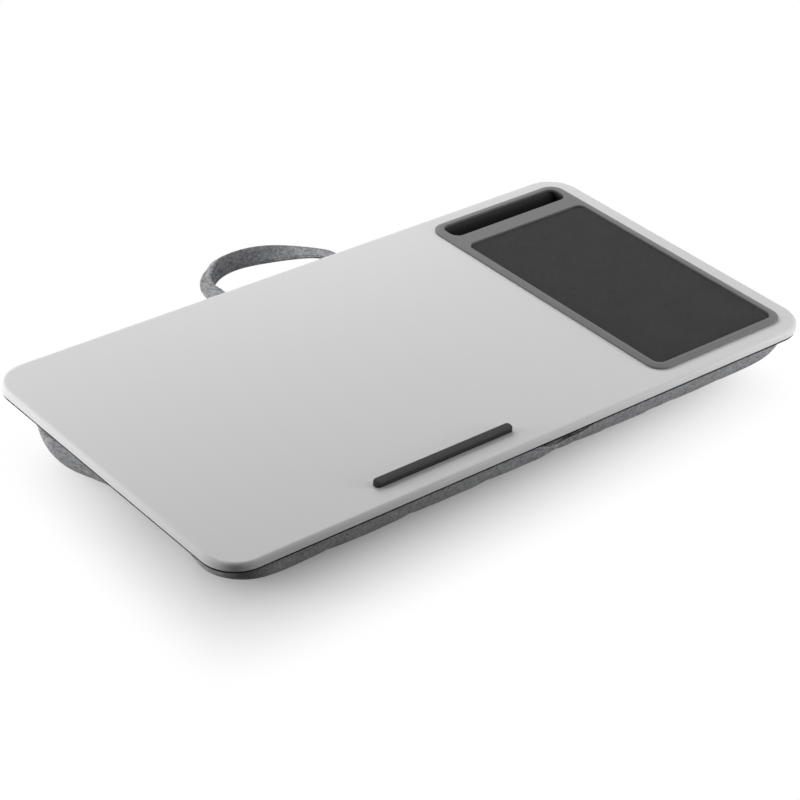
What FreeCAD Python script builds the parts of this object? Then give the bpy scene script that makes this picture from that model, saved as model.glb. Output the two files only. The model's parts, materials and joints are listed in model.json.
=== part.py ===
import FreeCAD, Part
import math
import os

# Lap tray with a cushion, in millimetres. The origin is on the surface that it stands on, under the
# middle of the board. X runs along the board to the right, Y to the rear and Z up.

Vector = FreeCAD.Vector

# Board
tray_length = 575.0
tray_width = 305.0
tray_corner_radius = 28.0
tray_edge_round = 3.0
top_panel_thickness = 6.3
base_panel_thickness = 2.3
base_panel_inset = 0.6
base_edge_round = 0.6

# Cushion
cushion_height = 50.6
cushion_end_inset = 7.0
cushion_side_inset = 17.0
cushion_front_radius = 40.0
cushion_rear_radius = 52.0
cushion_front_shift = 11.0
end_draw_in_share = 0.11
chamber_bulge = 2.0
waist_depth = 5.0
waist_half_width = 22.0
channel_offset = 42.0
foot_channel_depth = 9.0
foot_channel_radius = 30.0
top_channel_depth = 14.0
top_channel_radius = 75.0
cover_thickness = 1.5
fill_clearance = 0.3
ground_cut = 0.5

# How far the cushion's wall stands in from its widest outline, at each height as a share of its own height.
wall_heights = (1.0, 0.93, 0.83, 0.63, 0.43, 0.30, 0.18, 0.10, 0.04)
wall_insets = (3.0, 0.5, 0.0, 1.5, 6.0, 13.0, 23.0, 34.0, 48.0)
ground_inset = 62.0

# Largest share of the cushion's half width that a corner may take, so that each end keeps a middle.
corner_share = 0.95

# Strips that hold the cushion to the base panel
hook_thickness = 1.4
loop_thickness = 1.4
strip_width = 25.0
strip_end_margin = 55.5
strip_frame_gap = 18.8

# Mouse pad and its frame
pad_width = 127.0
pad_thickness = 2.4
pad_corner_radius = 7.0
pad_proud = 1.1
pad_gap = 0.4
pad_edge_round = 0.6
frame_margin = 15.0
frame_rear_margin = 14.3
frame_border = 6.7
frame_rear_border = 6.2
frame_corner_radius = 13.0
frame_height = 2.7
frame_lip_height = 1.7
frame_bevel_width = 3.6
frame_edge_round = 0.6
frame_overlap = 4.0
frame_wall = 2.0
frame_clearance = 0.3

# Phone slot
slot_bar_width = 15.1
slot_width = 20.3
slot_end_margin = 7.6
slot_end_radius = 8.0
slot_floor_width = 11.0
slot_lip_thickness = 2.0
slot_rim_round = 0.6
phone_tray_wall = 1.6
phone_tray_clearance = 0.3

# Laptop stop
stop_length = 128.5
stop_width = 7.6
stop_height = 5.0
stop_end_radius = 3.2
stop_edge_round = 2.1
stop_front_margin = 18.5
stop_centre_x = -77.8
stop_peg_radius = 3.0
stop_peg_length = 6.0
stop_peg_end_margin = 19.25
peg_clearance = 0.1

# Screws
screw_radius = 1.4
screw_head_radius = 2.6
screw_head_height = 1.6
screw_slot_width = 0.7
screw_slot_depth = 0.8
screw_clearance = 0.2
thread_clearance = 0.05
boss_radius = 3.5
frame_screw_length = 6.5
frame_screw_side_margin = 11.5
frame_screw_end_margin = 18.3
stop_screw_length = 11.5

# Carry strap
strap_width = 15.6
strap_thickness = 2.4
strap_spacing = 114.6
strap_seam_height = 41.0
strap_clearance = 0.3
strap_lead = 26.6
strap_reach = 24.3
strap_skew = 11.4
strap_lean = 0.31
strap_lift = 8.1
strap_fold_place = 48.9
strap_fold_length = 9.9
strap_fold_angle = 66.0
strap_untwist_length = 91.7
strap_stations = 36

# Heights and places that follow from the sizes above
half_length = tray_length / 2
half_width = tray_width / 2
cushion_top = cushion_height
base_bottom = cushion_top + loop_thickness + hook_thickness
base_top = base_bottom + base_panel_thickness
tray_top = base_top + top_panel_thickness

frame_width = pad_width + 2 * (pad_gap + frame_border)
frame_length = tray_width - frame_margin - frame_rear_margin
pad_length = frame_length - frame_border - 2 * pad_gap - slot_bar_width - slot_width - frame_rear_border
frame_x1 = half_length - frame_margin
frame_x0 = frame_x1 - frame_width
frame_y0 = -half_width + frame_margin
frame_y1 = frame_y0 + frame_length
frame_centre_x = (frame_x0 + frame_x1) / 2
frame_top = tray_top + frame_height

pad_floor = tray_top + pad_proud - pad_thickness
recess_x0 = frame_x0 + frame_border
recess_x1 = frame_x1 - frame_border
recess_y0 = frame_y0 + frame_border
recess_y1 = recess_y0 + pad_length + 2 * pad_gap
pad_centre_y = (recess_y0 + recess_y1) / 2

slot_x0 = frame_x0 + slot_end_margin
slot_x1 = frame_x1 - slot_end_margin
slot_y0 = recess_y1 + slot_bar_width
slot_y1 = slot_y0 + slot_width
slot_lip_bottom = frame_top - slot_lip_thickness
phone_tray_bottom = cushion_top + phone_tray_clearance

stop_y0 = -half_width + stop_front_margin
stop_y1 = stop_y0 + stop_width
stop_centre_y = (stop_y0 + stop_y1) / 2

cushion_half_length = half_length - cushion_end_inset
cushion_half_width = half_width - cushion_side_inset

strip_reach_y = cushion_half_width - strip_end_margin
inner_strip_x = frame_x0 - strip_frame_gap - strip_width / 2
outer_strip_x = frame_centre_x

hinge_y = half_width + strap_clearance + strap_thickness / 2
hinge_z = strap_seam_height

frame_screw_reach_x = pad_width / 2 - frame_screw_side_margin
frame_screw_reach_y = pad_length / 2 - frame_screw_end_margin
frame_screw_places = [
    (frame_centre_x + side * frame_screw_reach_x, pad_centre_y + row * frame_screw_reach_y)
    for side in (-1, 1)
    for row in (-1, 0, 1)
]
stop_peg_reach = stop_length / 2 - stop_peg_end_margin
stop_screw_places = [(stop_centre_x + side * stop_peg_reach, stop_centre_y) for side in (-1, 1)]


def line(start, end):
    return Part.LineSegment(start, end).toShape()


def arc(start, middle, end):
    return Part.Arc(start, middle, end).toShape()


def box(x0, x1, y0, y1, z0, z1):
    return Part.makeBox(x1 - x0, y1 - y0, z1 - z0, Vector(x0, y0, z0))


def rod(x, y, z0, z1, radius):
    return Part.makeCylinder(radius, z1 - z0, Vector(x, y, z0))


def rounded_wire(x0, x1, y0, y1, radius, z):
    """Rectangle with rounded corners, at height z."""
    reach = radius * (1 - math.sqrt(0.5))
    return Part.Wire([
        line(Vector(x0 + radius, y0, z), Vector(x1 - radius, y0, z)),
        arc(Vector(x1 - radius, y0, z), Vector(x1 - reach, y0 + reach, z), Vector(x1, y0 + radius, z)),
        line(Vector(x1, y0 + radius, z), Vector(x1, y1 - radius, z)),
        arc(Vector(x1, y1 - radius, z), Vector(x1 - reach, y1 - reach, z), Vector(x1 - radius, y1, z)),
        line(Vector(x1 - radius, y1, z), Vector(x0 + radius, y1, z)),
        arc(Vector(x0 + radius, y1, z), Vector(x0 + reach, y1 - reach, z), Vector(x0, y1 - radius, z)),
        line(Vector(x0, y1 - radius, z), Vector(x0, y0 + radius, z)),
        arc(Vector(x0, y0 + radius, z), Vector(x0 + reach, y0 + reach, z), Vector(x0 + radius, y0, z)),
    ])


def rounded_slab(x0, x1, y0, y1, radius, z0, z1):
    """Slab with a rounded rectangle as its outline, from height z0 up to z1."""
    return Part.Face(rounded_wire(x0, x1, y0, y1, radius, z0)).extrude(Vector(0, 0, z1 - z0))


def edges_at(shape, z):
    """The edges of a shape that lie wholly at height z."""
    return [edge for edge in shape.Edges
            if abs(edge.BoundBox.ZMin - z) < 1e-6 and abs(edge.BoundBox.ZMax - z) < 1e-6]


def edges_inside(edges, x0, x1, y0, y1):
    """Those edges that lie wholly inside a rectangle seen from above."""
    return [edge for edge in edges
            if x0 < edge.BoundBox.XMin and edge.BoundBox.XMax < x1
            and y0 < edge.BoundBox.YMin and edge.BoundBox.YMax < y1]


def frame_slab(inset, z0, z1):
    """Slab of the frame's own outline, drawn in all round by inset."""
    return rounded_slab(frame_x0 + inset, frame_x1 - inset, frame_y0 + inset, frame_y1 - inset,
                        frame_corner_radius - inset, z0, z1)


def slot_slab(outset, z0, z1):
    """Slab of the phone slot's outline, grown all round by outset."""
    return rounded_slab(slot_x0 - outset, slot_x1 + outset, slot_y0 - outset, slot_y1 + outset,
                        slot_end_radius + outset, z0, z1)


def screw(x, y, head_top, length):
    """Pan-head screw that points up, with its head under head_top and a crossed recess in the head."""
    head = rod(x, y, head_top - screw_head_height, head_top, screw_head_radius)
    head = head.makeFillet(screw_head_height / 2, edges_at(head, head_top - screw_head_height))
    shank = rod(x, y, head_top, head_top + length, screw_radius)
    shank = shank.makeChamfer(screw_radius / 2, edges_at(shank, head_top + length))
    body = head.fuse(shank).removeSplitter()
    reach = screw_head_radius / 2
    half_slot = screw_slot_width / 2
    recess_top = head_top - screw_head_height + screw_slot_depth
    recess_bottom = head_top - 2 * screw_head_height
    body = body.cut(box(x - reach, x + reach, y - half_slot, y + half_slot, recess_bottom, recess_top))
    return body.cut(box(x - half_slot, x + half_slot, y - reach, y + reach, recess_bottom, recess_top))


def make_top_panel():
    """Grey board with a rounded-over top edge, the frame's opening and the stop bar's peg holes."""
    panel = rounded_slab(-half_length, half_length, -half_width, half_width, tray_corner_radius,
                         base_top, tray_top)
    panel = panel.makeFillet(tray_edge_round, edges_at(panel, tray_top))
    panel = panel.cut(frame_slab(frame_overlap, base_top, tray_top))
    for x, y in stop_screw_places:
        panel = panel.cut(rod(x, y, base_top, tray_top, stop_peg_radius + peg_clearance))
    return panel


def make_base_panel():
    """Black lower board with screw holes and the phone tray's opening."""
    length = half_length - base_panel_inset
    width = half_width - base_panel_inset
    panel = rounded_slab(-length, length, -width, width, tray_corner_radius - base_panel_inset,
                         base_bottom, base_top)
    panel = panel.makeFillet(base_edge_round, edges_at(panel, base_bottom))
    panel = panel.cut(slot_slab(phone_tray_wall + frame_clearance, base_bottom, base_top))
    for x, y in frame_screw_places + stop_screw_places:
        panel = panel.cut(rod(x, y, base_bottom, base_top, screw_radius + screw_clearance))
    return panel


def make_pad_frame():
    """Moulded frame: bevelled border on the board, skirt in the opening, pad recess and slot mouth."""
    border = frame_slab(0, tray_top, tray_top + frame_lip_height)
    bevel_foot = rounded_wire(frame_x0, frame_x1, frame_y0, frame_y1, frame_corner_radius,
                              tray_top + frame_lip_height)
    bevel_head = rounded_wire(frame_x0 + frame_bevel_width, frame_x1 - frame_bevel_width,
                              frame_y0 + frame_bevel_width, frame_y1 - frame_bevel_width,
                              frame_corner_radius - frame_bevel_width, frame_top)
    bevel = Part.makeLoft([bevel_foot, bevel_head], True, True)
    skirt_inset = frame_overlap + frame_clearance
    frame = border.fuse(bevel).fuse(frame_slab(skirt_inset, base_top, tray_top)).removeSplitter()
    hollow = frame_slab(skirt_inset + frame_wall, base_top, pad_floor - frame_wall)
    for x, y in frame_screw_places:
        hollow = hollow.cut(rod(x, y, base_top, pad_floor - frame_wall, boss_radius))
    frame = frame.cut(hollow)
    frame = frame.cut(slot_slab(0, base_top, frame_top))
    rim = edges_inside(edges_at(frame, frame_top), slot_x0 - phone_tray_wall, slot_x1 + phone_tray_wall,
                       slot_y0 - phone_tray_wall, slot_y1 + phone_tray_wall)
    frame = frame.makeFillet(slot_rim_round, rim)
    recess = rounded_slab(recess_x0, recess_x1, recess_y0, recess_y1, pad_corner_radius + pad_gap,
                          pad_floor, frame_top)
    frame = frame.cut(recess)
    sharp_edges = edges_at(frame, tray_top + frame_lip_height)
    sharp_edges += edges_inside(edges_at(frame, frame_top), recess_x0 - pad_gap, recess_x1 + pad_gap,
                                recess_y0 - pad_gap, recess_y1 + pad_gap)
    frame = frame.makeFillet(frame_edge_round, sharp_edges)
    frame = frame.cut(slot_slab(phone_tray_wall + frame_clearance, base_top, slot_lip_bottom))
    pilot_top = base_bottom + frame_screw_length
    for x, y in frame_screw_places:
        frame = frame.cut(rod(x, y, base_top, pilot_top, screw_radius + thread_clearance))
    return frame


def make_mouse_pad():
    pad = rounded_slab(recess_x0 + pad_gap, recess_x1 - pad_gap, recess_y0 + pad_gap, recess_y1 - pad_gap,
                       pad_corner_radius, pad_floor, pad_floor + pad_thickness)
    return pad.makeFillet(pad_edge_round, edges_at(pad, pad_floor + pad_thickness))


def make_phone_tray():
    """Trough under the slot's mouth. Its rear wall leans back, so that a phone leans with it."""
    floor_z = phone_tray_bottom + phone_tray_wall
    side = Part.makePolygon([
        Vector(slot_x0, slot_y0, floor_z),
        Vector(slot_x0, slot_y0 + slot_floor_width, floor_z),
        Vector(slot_x0, slot_y1, slot_lip_bottom),
        Vector(slot_x0, slot_y0, slot_lip_bottom),
        Vector(slot_x0, slot_y0, floor_z),
    ])
    wedge = Part.Face(side).extrude(Vector(slot_x1 - slot_x0, 0, 0))
    hollow = wedge.common(slot_slab(0, floor_z, slot_lip_bottom))
    return slot_slab(phone_tray_wall, phone_tray_bottom, slot_lip_bottom).cut(hollow)


def make_laptop_stop():
    """Bar with rounded ends and two pegs that reach down into the board."""
    bar = rounded_slab(stop_centre_x - stop_length / 2, stop_centre_x + stop_length / 2, stop_y0, stop_y1,
                       stop_end_radius, tray_top, tray_top + stop_height)
    bar = bar.makeFillet(stop_edge_round, edges_at(bar, tray_top + stop_height))
    for x, y in stop_screw_places:
        bar = bar.fuse(rod(x, y, tray_top - stop_peg_length, tray_top, stop_peg_radius))
    bar = bar.removeSplitter()
    for x, y in stop_screw_places:
        bar = bar.cut(rod(x, y, tray_top - stop_peg_length, base_bottom + stop_screw_length,
                          screw_radius + thread_clearance))
    return bar


def cushion_wire(inset, z):
    """Cushion's plan outline at height z: rounded corners, ends that draw in between the corners, and
    two chambers along the front and rear that swell and meet in a waist at the channel. The cover is
    pulled a little askew, so its front edge sits further to the right."""
    length = cushion_half_length - inset
    width = cushion_half_width - inset
    waist_x0 = channel_offset - waist_half_width
    waist_x1 = channel_offset + waist_half_width
    largest_radius = corner_share * width
    radii = {-1: min(cushion_front_radius + inset / 2, largest_radius),
             1: min(cushion_rear_radius + inset / 2, largest_radius)}

    def at(x, y):
        return Vector(x + cushion_front_shift * max(0, -y) / cushion_half_width, y, z)

    def corner(end, side):
        """Arc round one corner, from the end (-1 left, 1 right) to the side (-1 front, 1 rear)."""
        radius = radii[side]
        reach = radius * (1 - math.sqrt(0.5))
        return arc(at(end * length, side * (width - radius)),
                   at(end * (length - reach), side * (width - reach)),
                   at(end * (length - radius), side * width))

    def chambers(side):
        """Edges along the front (-1) or the rear (1) between its two corners, from left to right."""
        y = side * width
        bulge_y = side * (width + chamber_bulge)
        corner_x = length - radii[side]
        return [
            arc(at(-corner_x, y), at((waist_x0 - corner_x) / 2, bulge_y), at(waist_x0, y)),
            arc(at(waist_x0, y), at(channel_offset, side * (width - waist_depth)), at(waist_x1, y)),
            arc(at(waist_x1, y), at((waist_x1 + corner_x) / 2, bulge_y), at(corner_x, y)),
        ]

    def drawn_in(end):
        """Edge along the left end (-1) or the right end (1), which draws in at its middle."""
        front_y = radii[-1] - width
        rear_y = width - radii[1]
        middle_x = length - end_draw_in_share * (rear_y - front_y)
        return arc(at(end * length, front_y), at(end * middle_x, (front_y + rear_y) / 2),
                   at(end * length, rear_y))

    edges = chambers(-1) + chambers(1)
    edges += [corner(end, side) for end in (-1, 1) for side in (-1, 1)]
    edges += [drawn_in(end) for end in (-1, 1)]
    return Part.Wire(Part.__sortEdges__(edges))


def cushion_form(offset):
    """Crowned form of the cushion, drawn in by offset on every side, with a sewn channel across it that
    shows as a groove in its foot and another in its top."""
    sections = [cushion_wire(inset + offset, share * (cushion_height - 2 * offset) + offset)
                for share, inset in zip(wall_heights, wall_insets)]
    sections.append(cushion_wire(ground_inset + offset, offset - ground_cut))
    form = Part.makeLoft(sections, True, False)
    form = form.cut(box(-tray_length, tray_length, -tray_width, tray_width, offset - cushion_height, offset))
    foot_axis_z = foot_channel_depth - foot_channel_radius
    top_axis_z = cushion_top - top_channel_depth + top_channel_radius
    for radius, axis_z in ((foot_channel_radius, foot_axis_z), (top_channel_radius, top_axis_z)):
        groove = Part.makeCylinder(radius + offset, 2 * tray_width,
                                   Vector(channel_offset, -tray_width, axis_z), Vector(0, 1, 0))
        form = form.cut(groove)
    return form


def cushion_chambers(offset):
    """The left and right insides of the cushion, parted by the seam above the channel."""
    seam = box(channel_offset - offset / 2, channel_offset + offset / 2, -tray_width, tray_width,
               -cushion_height, 2 * cushion_height)
    chambers = cushion_form(offset).cut(seam).Solids
    return sorted(chambers, key=lambda chamber: chamber.CenterOfMass.x)


def make_cushion_cover():
    cover = cushion_form(0)
    for chamber in cushion_chambers(cover_thickness):
        cover = cover.cut(chamber)
    return cover


def make_strips(z0, z1):
    """Four strips across the board, at one level of the fastening."""
    strips = [box(x - strip_width / 2, x + strip_width / 2, -strip_reach_y, strip_reach_y, z0, z1)
              for x in (-outer_strip_x, -inner_strip_x, inner_strip_x, outer_strip_x)]
    return Part.makeCompound(strips)


def make_strap_ends():
    """The strap's two flat ends, sewn to the cushion's rear wall, which stick out as far as the board."""
    wall = cushion_form(-strap_clearance)
    ends = [box(x - strap_width / 2, x + strap_width / 2, cushion_half_width - waist_depth, half_width,
                hinge_z - strap_thickness / 2, hinge_z + strap_thickness / 2).cut(wall)
            for x in (-strap_spacing / 2, strap_spacing / 2)]
    return Part.makeCompound(ends)


def strap_point(angle):
    """Middle of the strap: half an oval seen from above, skewed to the left and lifted at its middle."""
    x = -strap_spacing / 2 * math.cos(angle) - strap_skew * math.sin(angle) ** 2
    y = hinge_y + strap_lead + strap_reach * math.sin(angle) * (1 + strap_lean * math.cos(angle))
    z = hinge_z + strap_lift * math.sin(angle) ** 2
    return Vector(x, y, z)


def strap_direction(angle):
    """Direction of the strap's middle line, from two points close together."""
    step = 1e-4
    return (strap_point(angle + step) - strap_point(angle - step)).normalize()


def smooth_step(share):
    """Rise from 0 to 1 that starts and ends gently."""
    share = min(1.0, max(0.0, share))
    return share * share * (3 - 2 * share)


def strap_roll(walked, left):
    """Turn of the strap about its own length, where some of its length is walked and some is left: a fold
    near its left end sets it up on edge, and it lies flat again where its right end runs straight."""
    folded = smooth_step((walked - strap_fold_place) / strap_fold_length + 0.5)
    upright = smooth_step((left - strap_lead) / strap_untwist_length)
    return math.radians(strap_fold_angle) * folded * upright


def strap_section(centre, along, roll):
    """Rectangle across the strap at a point of its middle line."""
    level = along.cross(Vector(0, 0, 1)).normalize()
    down = along.cross(level).normalize()
    across = level * math.cos(roll) + down * math.sin(roll)
    through = along.cross(across).normalize()
    half_across = across * (strap_width / 2)
    half_through = through * (strap_thickness / 2)
    corners = [centre - half_across - half_through, centre + half_across - half_through,
               centre + half_across + half_through, centre - half_across + half_through]
    return Part.makePolygon(corners + corners[:1])


def make_carry_strap():
    """Fabric loop that swings about its sewn ends, rounded where it meets them."""
    rear = Vector(0, 1, 0)
    left_foot = Vector(-strap_spacing / 2, hinge_y, hinge_z)
    right_foot = Vector(strap_spacing / 2, hinge_y, hinge_z)
    angles = [math.pi * station / strap_stations for station in range(strap_stations + 1)]
    points = [left_foot] + [strap_point(angle) for angle in angles] + [right_foot]
    directions = [rear, rear] + [strap_direction(angle) for angle in angles[1:-1]] + [-rear, -rear]
    walked = [0.0]
    for start, end in zip(points, points[1:]):
        walked.append(walked[-1] + start.distanceToPoint(end))
    sections = [strap_section(point, direction, strap_roll(distance, walked[-1] - distance))
                for point, direction, distance in zip(points, directions, walked)]
    strap = Part.makeLoft(sections, True, True)
    for foot in (left_foot, right_foot):
        start = foot - Vector(strap_width / 2, 0, 0)
        knuckle = Part.makeCylinder(strap_thickness / 2, strap_width, start, Vector(1, 0, 0))
        front = box(start.x, start.x + strap_width, hinge_y - strap_thickness, hinge_y,
                    hinge_z - strap_thickness, hinge_z + strap_thickness)
        strap = strap.fuse(knuckle.common(front))
    return strap.removeSplitter()


left_fill, right_fill = cushion_chambers(cover_thickness + fill_clearance)

pieces = {
    "top_panel": make_top_panel(),
    "base_panel": make_base_panel(),
    "pad_frame": make_pad_frame(),
    "mouse_pad": make_mouse_pad(),
    "phone_tray": make_phone_tray(),
    "laptop_stop": make_laptop_stop(),
    "frame_screws": Part.makeCompound([screw(x, y, base_bottom, frame_screw_length)
                                       for x, y in frame_screw_places]),
    "stop_screws": Part.makeCompound([screw(x, y, base_bottom, stop_screw_length)
                                      for x, y in stop_screw_places]),
    "cushion_cover": make_cushion_cover(),
    "left_fill": left_fill,
    "right_fill": right_fill,
    "hook_strips": make_strips(base_bottom - hook_thickness, base_bottom),
    "loop_strips": make_strips(cushion_top, cushion_top + loop_thickness),
    "strap_ends": make_strap_ends(),
    "carry_strap": make_carry_strap(),
}

os.makedirs("parts", exist_ok=True)
for name, shape in pieces.items():
    shape.exportStep(f"parts/{name}.step")
    print(f"{name}: {len(shape.Solids)} solid(s), {shape.Volume / 1000:.1f} cm3, valid {shape.isValid()}")
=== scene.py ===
import json
import math

import bpy
import numpy as np
from bpy.props import FloatProperty, FloatVectorProperty, IntProperty, PointerProperty
from bpy.types import Operator, Panel, PropertyGroup
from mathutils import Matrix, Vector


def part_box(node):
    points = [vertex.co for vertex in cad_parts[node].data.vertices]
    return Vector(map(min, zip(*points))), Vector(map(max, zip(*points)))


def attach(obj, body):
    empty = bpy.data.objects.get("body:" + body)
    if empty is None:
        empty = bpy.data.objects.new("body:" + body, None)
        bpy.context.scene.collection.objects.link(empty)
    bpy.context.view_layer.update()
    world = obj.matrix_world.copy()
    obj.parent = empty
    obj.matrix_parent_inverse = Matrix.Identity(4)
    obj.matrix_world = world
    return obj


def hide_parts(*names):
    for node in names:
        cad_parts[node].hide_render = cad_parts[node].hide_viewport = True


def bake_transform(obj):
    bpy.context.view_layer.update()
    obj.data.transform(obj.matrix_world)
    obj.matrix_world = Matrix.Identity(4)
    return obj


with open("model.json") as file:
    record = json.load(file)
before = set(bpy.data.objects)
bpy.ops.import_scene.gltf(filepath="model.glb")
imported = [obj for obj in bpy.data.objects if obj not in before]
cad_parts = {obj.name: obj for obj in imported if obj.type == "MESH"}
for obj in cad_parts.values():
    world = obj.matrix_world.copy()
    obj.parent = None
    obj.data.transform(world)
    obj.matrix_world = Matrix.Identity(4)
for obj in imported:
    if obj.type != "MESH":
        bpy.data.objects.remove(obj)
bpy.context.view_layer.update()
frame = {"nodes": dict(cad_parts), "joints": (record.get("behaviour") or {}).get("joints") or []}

bl_info = {
    "name": "Lap tray with cushion",
    "version": (1, 0, 0),
    "blender": (4, 5, 0),
    "location": "3D View > Sidebar > Lap tray",
    "description": "Dresses the lap tray with its finishes, its stuffed cushion and its carry strap",
    "category": "Object",
}

TRAY_BODY = "tray"
CLOTH_MAP = "cloth"

# Steps of the grids: round the cushion, round the mouse pad, along the seam and along the strap's loop
CUSHION_STEPS = 480
MAT_STEPS = 240
SEAM_STEPS = 900
STRAP_STEPS = 180

# Steps round a corner of an outline, round the strap's section and round the seam's cord
CORNER_STEPS = 48
BAND_STEPS = 56
CORD_STEPS = 12

# How far in the rings of the cushion and the mouse pad go, as a share of the half width
INNER_SHARE = 0.9

# Place and size of each soft light in metres, and whether it leaves a glare on the tray
STAGE_LIGHTS = {
    "rear": ((0.25, 0.85, 0.75), 0.9, False),
    "left": ((-1.2, 0.9, 0.9), 1.0, False),
    "right": ((0.9, -0.7, 0.9), 0.8, True),
    "left_end": ((-0.9, 0.4, 0.16), 0.25, False),
    "right_end": ((0.5, -0.62, 0.14), 0.25, False),
}

board_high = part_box("top_panel")[1]
cushion_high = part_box("cushion_cover")[1]
mat_low, mat_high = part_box("mouse_pad")
slot_low, slot_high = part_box("phone_tray")
strap_joint = frame["joints"][0]


# Settings that the sidebar shows

def length_property(name, description, default):
    """A size in metres that the sidebar shows with its unit."""
    return FloatProperty(name=name, description=description, default=default, unit="LENGTH", precision=4)


def share_property(name, description, default):
    """A plain number, mostly a share of something else."""
    return FloatProperty(name=name, description=description, default=default, precision=3)


def power_property(name, description, default):
    """The power of a light, which the sidebar shows in watts."""
    return FloatProperty(name=name, description=description, default=default, unit="POWER")


def colour_property(name, description, default):
    """A linear colour that the sidebar shows as a swatch."""
    return FloatVectorProperty(name=name, description=description, default=default, subtype="COLOR",
                               min=0.0, max=1.0)


class CushionSizes(PropertyGroup):
    """Sizes of the stuffed cushion and of its filling"""

    half_length: length_property("Half length", "Half the cushion's widest length", 0.2815)
    half_width: length_property("Half width", "Half the cushion's widest depth", 0.1355)
    height: length_property("Height", "Height of the cushion's top over the floor", cushion_high.z)
    widest_height: length_property("Widest height", "Height at which the wall stands out furthest", 0.042)
    foot_inset: length_property("Foot inset", "How far the resting edge stands in from the wall", 0.033)
    foot_shift: length_property("Foot shift", "How far the resting face stands to the rear", 0.026)
    top_inset: length_property("Top inset", "How far the top edge stands in from the wall", 0.003)
    front_radius: length_property("Front corner radius", "Plan radius of the two front corners", 0.030)
    rear_radius: length_property("Rear corner radius", "Plan radius of the two rear corners", 0.046)
    shift: length_property("Shift", "How far the cushion is sewn to the right of the board's middle", 0.003)
    front_shift: length_property("Front shift", "How far the front edge is pulled to the right", 0.013)
    draw_in: share_property("Draw in", "How far each end draws in, as a share of its straight run", 0.12)
    bulge: length_property("Chamber bulge", "How far each chamber swells along front and rear", 0.0005)
    waist_depth: length_property("Waist depth", "How far front and rear go in at the channel", 0.001)
    waist_width: length_property("Waist width", "Half the width of the waist at the channel", 0.026)
    channel_x: length_property("Channel place", "Place of the sewn channel along the tray", 0.042)
    groove_width: length_property("Groove width", "Half the width of the channel's groove", 0.012)
    groove_height: length_property("Groove height", "Height of the channel's groove over the floor", 0.002)
    valley_width: length_property("Valley width", "Half the width of the channel's valley in the top", 0.031)
    valley_height: length_property("Valley height", "Height of the cover's top in the valley", 0.0300)
    seam_height: length_property("Seam height", "Height of the seam round the cushion", 0.041)
    valley_seam: length_property("Valley seam", "Height of the seam where it crosses the valley", 0.0332)
    slack: length_property("Slack", "How much smaller the cover is before it is filled", 0.0008)
    most_swell: length_property("Most swell", "Furthest that filling may move the cover", 0.0012)
    voxel: length_property("Voxel", "Edge length of the remeshed cover", 0.005)
    pressure: share_property("Pressure", "Pressure of the bead fill on the cover", 2.5)
    spare_cloth: share_property("Spare cloth", "Extra cloth in the cover, as a share of its size", 0.004)
    frames: IntProperty(name="Frames", description="Steps of the filling", default=20, min=2)


class StrapSizes(PropertyGroup):
    """Sizes of the carry strap"""

    width: length_property("Width", "Width of the strap", 0.0156)
    thickness: length_property("Thickness", "Thickness of the doubled cloth", 0.0024)
    spacing: length_property("Spacing", "Distance between the two sewn ends", 0.1146)
    hinge_y: length_property("Hinge place", "Where the loop bends at the board's rear edge",
                             strap_joint["pos_m"][1])
    hinge_z: length_property("Hinge height", "Height at which the strap leaves the cushion's seam",
                             strap_joint["pos_m"][2])
    sewn_y: length_property("Sewn place", "Where the strap's ends go into the cushion's rear seam", 0.1335)
    lead: length_property("Lead", "Straight run behind the hinge", 0.0266)
    reach: length_property("Reach", "Depth of the loop behind its straight runs", 0.0243)
    skew: length_property("Skew", "How far the loop's middle leans to the left", 0.0114)
    lean: share_property("Lean", "How much fuller the loop is on its left", 0.31)
    lift: length_property("Lift", "Rise of the loop's middle", 0.0081)
    fold_place: length_property("Fold place", "Length of strap from the left hinge to its fold", 0.0489)
    fold_length: length_property("Fold length", "Length of strap over which it folds", 0.0099)
    fold_angle: FloatProperty(name="Fold angle", description="How far the fold turns the strap on edge",
                              default=math.radians(66), unit="ROTATION")
    fold_slant: share_property("Fold slant", "How much sooner the inner edge folds, in strap widths", 1.5)
    untwist: length_property("Untwist", "Length over which the strap lies flat again on its right", 0.0917)
    end_spread: share_property("End spread", "How much wider the flat left end is than the strap", 0.3)
    bend: length_property("Bend", "Length of the soft bend at the hinge", 0.008)


class MatSizes(PropertyGroup):
    """Sizes of the mouse pad"""

    corner_radius: length_property("Corner radius", "Plan radius of the mouse pad's corners", 0.007)
    foot_round: length_property("Foot rounding", "Radius of the lower cut edge", 0.0003)
    top_round: length_property("Top rounding", "Radius of the upper cut edge", 0.0008)
    crown: length_property("Crown", "How much higher the cloth is in the middle than at the edge", 0.0003)


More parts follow.
